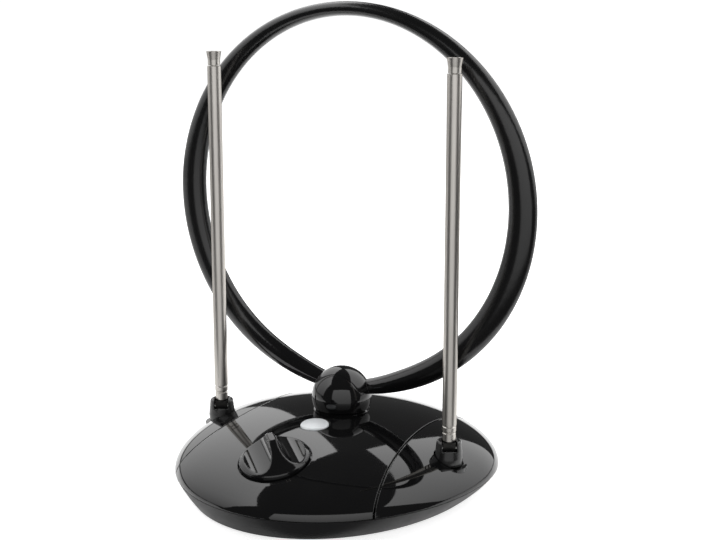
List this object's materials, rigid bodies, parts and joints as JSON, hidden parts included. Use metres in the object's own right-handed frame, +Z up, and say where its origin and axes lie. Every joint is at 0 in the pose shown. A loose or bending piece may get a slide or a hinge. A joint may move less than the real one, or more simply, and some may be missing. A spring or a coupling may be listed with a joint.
{
  "type": "indoor tv antenna",
  "caption": "Indoor TV antenna: domed base with a gain knob and a lit button, a round loop on a tilting hub, and telescopic rods on swivelling knuckles.",
  "frame": {"origin": "on the table, under the middle of the base", "axes": "+Z up, -Y towards the front with the knob, +X to the right seen from the front"},
  "size_m": [0.2052, 0.1694, 0.2439],
  "materials": {
    "cover_black": "polished",
    "housing_black": "satin",
    "knob_black": "polished",
    "loop_black": "polished",
    "knuckle_black": "satin",
    "button_white": "polished",
    "lamp_clear": "polished",
    "rubber_black": "matt",
    "nickel": "satin plated",
    "screw_steel": "zinc plated",
    "ballast_steel": "as cut",
    "can_tin": "tinned",
    "socket_nickel": "plated",
    "insert_white": "moulded",
    "board_green": "lacquered",
    "component_dark": "moulded",
    "element_metal": "rolled"
  },
  "bodies": {
    "base": {"lower_housing": "housing_black", "centre_cover": "cover_black", "wing_cover_left": "cover_black", "wing_cover_right": "cover_black", "ballast_left": "ballast_steel", "ballast_right": "ballast_steel", "foot_front_left": "rubber_black", "foot_front_right": "rubber_black", "foot_rear_left": "rubber_black", "foot_rear_right": "rubber_black", "housing_screws": "screw_steel", "amplifier_board": "board_green", "shield_can": "can_tin", "gain_control": "component_dark", "power_switch": "component_dark", "indicator_lamp": "lamp_clear", "coax_socket": "socket_nickel", "coax_insert": "insert_white", "power_jack": "component_dark", "hub_ball": "knob_black"},
    "knob": {"gain_knob": "knob_black", "gain_shaft": "screw_steel"},
    "button": {"power_button": "button_white"},
    "loop": {"loop_front_shell": "loop_black", "loop_rear_shell": "loop_black", "loop_element": "element_metal"},
    "left_swivel": {"left_knuckle": "knuckle_black", "left_swivel_clip": "screw_steel", "left_hinge_pin": "screw_steel"},
    "left_arm": {"left_ferrule": "nickel", "left_tube_1": "nickel"},
    "left_section_2": {"left_tube_2": "nickel"},
    "left_section_3": {"left_tube_3": "nickel"},
    "left_section_4": {"left_tube_4": "nickel"},
    "left_section_5": {"left_tube_5": "nickel", "left_tip": "nickel"},
    "right_swivel": {"right_knuckle": "knuckle_black", "right_swivel_clip": "screw_steel", "right_hinge_pin": "screw_steel"},
    "right_arm": {"right_ferrule": "nickel", "right_tube_1": "nickel"},
    "right_section_2": {"right_tube_2": "nickel"},
    "right_section_3": {"right_tube_3": "nickel"},
    "right_section_4": {"right_tube_4": "nickel"},
    "right_section_5": {"right_tube_5": "nickel", "right_tip": "nickel"}
  },
  "joints": [
    {"name": "knob_turn", "type": "hinge", "parent": "base", "child": "knob", "pos_m": [0, -0.055, 0.02992], "axis": [0, -0.2553, 0.9669], "range_deg": [-140, 140]},
    {"name": "button_press", "type": "slide", "parent": "base", "child": "button", "axis": [0, 0.0828, -0.9966], "range_m": [0, 0.0012], "stiffness_N_per_m": 700, "springref_m": -0.0004},
    {"name": "loop_tilt", "type": "hinge", "parent": "base", "child": "loop", "pos_m": [0, 0.0092, 0.0438], "axis": [-1, 0, 0], "range_deg": [0, 40]},
    {"name": "left_swivel_turn", "type": "hinge", "parent": "base", "child": "left_swivel", "pos_m": [-0.0675, -0.003, 0.022], "axis": [0, 0, 1], "range_deg": [-160, 20]},
    {"name": "left_rod_tilt", "type": "hinge", "parent": "left_swivel", "child": "left_arm", "pos_m": [-0.0675, -0.003, 0.0306], "axis": [0.866, 0.5, 0], "range_deg": [0, 50]},
    {"name": "left_slide_2", "type": "slide", "parent": "left_arm", "child": "left_section_2", "axis": [0, 0, 1], "range_m": [0, 0.15]},
    {"name": "left_slide_3", "type": "slide", "parent": "left_section_2", "child": "left_section_3", "axis": [0, 0, 1], "range_m": [0, 0.15]},
    {"name": "left_slide_4", "type": "slide", "parent": "left_section_3", "child": "left_section_4", "axis": [0, 0, 1], "range_m": [0, 0.15]},
    {"name": "left_slide_5", "type": "slide", "parent": "left_section_4", "child": "left_section_5", "axis": [0, 0, 1], "range_m": [0, 0.15]},
    {"name": "right_swivel_turn", "type": "hinge", "parent": "base", "child": "right_swivel", "pos_m": [0.0675, -0.003, 0.022], "axis": [0, 0, 1], "range_deg": [-40, 100]},
    {"name": "right_rod_tilt", "type": "hinge", "parent": "right_swivel", "child": "right_arm", "pos_m": [0.0675, -0.003, 0.0306], "axis": [0.866, 0.5, 0], "range_deg": [0, 50]},
    {"name": "right_slide_2", "type": "slide", "parent": "right_arm", "child": "right_section_2", "axis": [0, 0, 1], "range_m": [0, 0.15]},
    {"name": "right_slide_3", "type": "slide", "parent": "right_section_2", "child": "right_section_3", "axis": [0, 0, 1], "range_m": [0, 0.15]},
    {"name": "right_slide_4", "type": "slide", "parent": "right_section_3", "child": "right_section_4", "axis": [0, 0, 1], "range_m": [0, 0.15]},
    {"name": "right_slide_5", "type": "slide", "parent": "right_section_4", "child": "right_section_5", "axis": [0, 0, 1], "range_m": [0, 0.15]}
  ]
}
